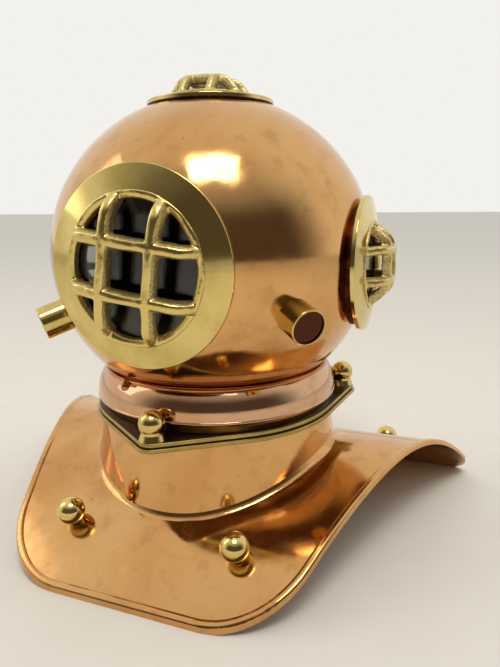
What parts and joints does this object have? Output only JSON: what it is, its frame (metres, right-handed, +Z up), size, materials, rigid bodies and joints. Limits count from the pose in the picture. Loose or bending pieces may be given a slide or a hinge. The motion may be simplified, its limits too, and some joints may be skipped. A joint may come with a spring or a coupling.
{
  "type": "diving helmet",
  "caption": "Small copper and brass diving helmet: ball bonnet with four grilled windows, bolted to a saddle-shaped breastplate.",
  "frame": {"origin": "on the table plane on the axis of the neck", "axes": "+X towards the wearer's left side window (seen at right in the picture), -Y the front window's way, +Z up"},
  "size_m": [0.2048, 0.1481, 0.1772],
  "materials": {
    "copper_sheet": "spun and polished copper sheet, handled and a little stained",
    "copper_cast": "dull dark copper boss",
    "brass_plate": "lacquered brass plate, edges polished, upper face darkened",
    "brass_turned": "turned and polished brass",
    "brass_cast": "rough cast brass, polished on the outer faces only",
    "leather_gasket": "dark oiled leather",
    "clear_glass": "clear flat glass"
  },
  "bodies": {
    "breastplate": {"breastplate": "copper_sheet", "lower_collar_plate": "brass_plate", "collar_gasket": "leather_gasket", "stud_front": "brass_plate", "stud_rear_right": "brass_plate", "stud_rear_left": "brass_plate", "knob_front_right": "brass_turned", "knob_front_left": "brass_turned", "knob_rear_right": "brass_turned", "knob_rear_left": "brass_turned"},
    "bonnet": {"bonnet_shell": "copper_sheet", "neck_ring": "copper_sheet", "upper_collar_plate": "brass_plate", "air_inlet": "brass_turned", "air_exhaust": "brass_turned", "front_window_seat": "copper_cast", "front_window_flange": "brass_turned", "front_window_grille": "brass_cast", "front_window_pane": "clear_glass", "right_window_seat": "copper_cast", "right_window_flange": "brass_turned", "right_window_grille": "brass_cast", "right_window_pane": "clear_glass", "left_window_seat": "copper_cast", "left_window_flange": "brass_turned", "left_window_grille": "brass_cast", "left_window_pane": "clear_glass", "top_window_seat": "copper_cast", "top_window_flange": "brass_turned", "top_window_grille": "brass_cast", "top_window_pane": "clear_glass"},
    "front_nut": {"front_nut": "brass_turned"},
    "rear_right_nut": {"rear_right_nut": "brass_turned"},
    "rear_left_nut": {"rear_left_nut": "brass_turned"}
  },
  "joints": [
    {"name": "bonnet_lift", "type": "slide", "parent": "breastplate", "child": "bonnet", "axis": [0, 0, 1], "range_m": [0, 0.06]},
    {"name": "front_nut_turn", "type": "hinge", "parent": "bonnet", "child": "front_nut", "pos_m": [0, -0.0555, 0.0498], "axis": [0, 0, 1], "continuous": true},
    {"name": "rear_right_nut_turn", "type": "hinge", "parent": "bonnet", "child": "rear_right_nut", "pos_m": [0.04806, 0.02775, 0.0498], "axis": [0, 0, 1], "continuous": true},
    {"name": "rear_left_nut_turn", "type": "hinge", "parent": "bonnet", "child": "rear_left_nut", "pos_m": [-0.04806, 0.02775, 0.0498], "axis": [0, 0, 1], "continuous": true}
  ]
}
